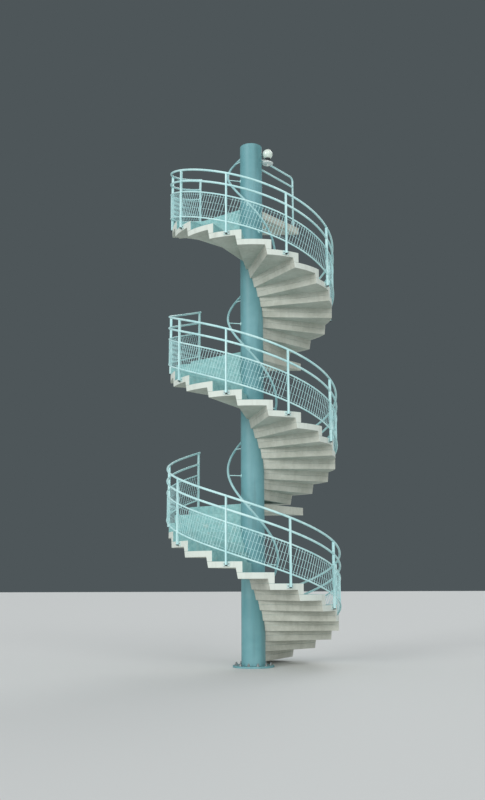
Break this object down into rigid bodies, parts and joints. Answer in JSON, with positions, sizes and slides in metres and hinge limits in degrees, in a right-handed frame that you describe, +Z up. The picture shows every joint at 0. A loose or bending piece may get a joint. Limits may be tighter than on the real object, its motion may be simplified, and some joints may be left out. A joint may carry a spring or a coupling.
{
  "type": "fire escape stair tower",
  "caption": "Spiral fire stair tower: folded concrete steps and landings round a painted column, with a helical tube railing, mesh panels, inner handrail and globe lamp.",
  "frame": {"origin": "on the column axis, at the underside of the foot flange", "axes": "+Z up along the column, -Y towards the front, +Y towards the galleries, +X to the right seen from the front"},
  "size_m": [3.0058, 2.9694, 9.412],
  "materials": {
    "column_paint": "satin turquoise paint",
    "rail_paint": "satin pale turquoise paint",
    "concrete": "fair-faced cast concrete, matt",
    "mesh_wire": "satin turquoise paint",
    "fitting_grey": "satin grey paint",
    "opal_glass": "opal white, smooth"
  },
  "bodies": {
    "root": {"central_column": "column_paint", "column_cap": "column_paint", "column_flange": "column_paint", "lower_odd_steps": "concrete", "lower_even_steps": "concrete", "middle_odd_steps": "concrete", "middle_even_steps": "concrete", "upper_odd_steps": "concrete", "upper_even_steps": "concrete", "first_landing": "concrete", "second_landing": "concrete", "third_landing": "concrete", "lower_top_rail": "rail_paint", "middle_top_rail": "rail_paint", "upper_top_rail": "rail_paint", "lower_second_rail": "rail_paint", "middle_second_rail": "rail_paint", "upper_second_rail": "rail_paint", "lower_mesh_rails": "rail_paint", "middle_mesh_rails": "rail_paint", "upper_mesh_rails": "rail_paint", "lower_mesh": "mesh_wire", "middle_mesh": "mesh_wire", "upper_mesh": "mesh_wire", "lower_posts": "rail_paint", "middle_posts": "rail_paint", "upper_posts": "rail_paint", "lower_post_plates": "rail_paint", "middle_post_plates": "rail_paint", "upper_post_plates": "rail_paint", "lower_handrail": "rail_paint", "middle_handrail": "rail_paint", "upper_handrail": "rail_paint", "lower_brackets": "rail_paint", "middle_brackets": "rail_paint", "upper_brackets": "rail_paint", "guard_rails": "rail_paint", "guard_post": "rail_paint", "lamp_bracket": "fitting_grey", "lamp_globe": "opal_glass"}
  },
  "joints": []
}
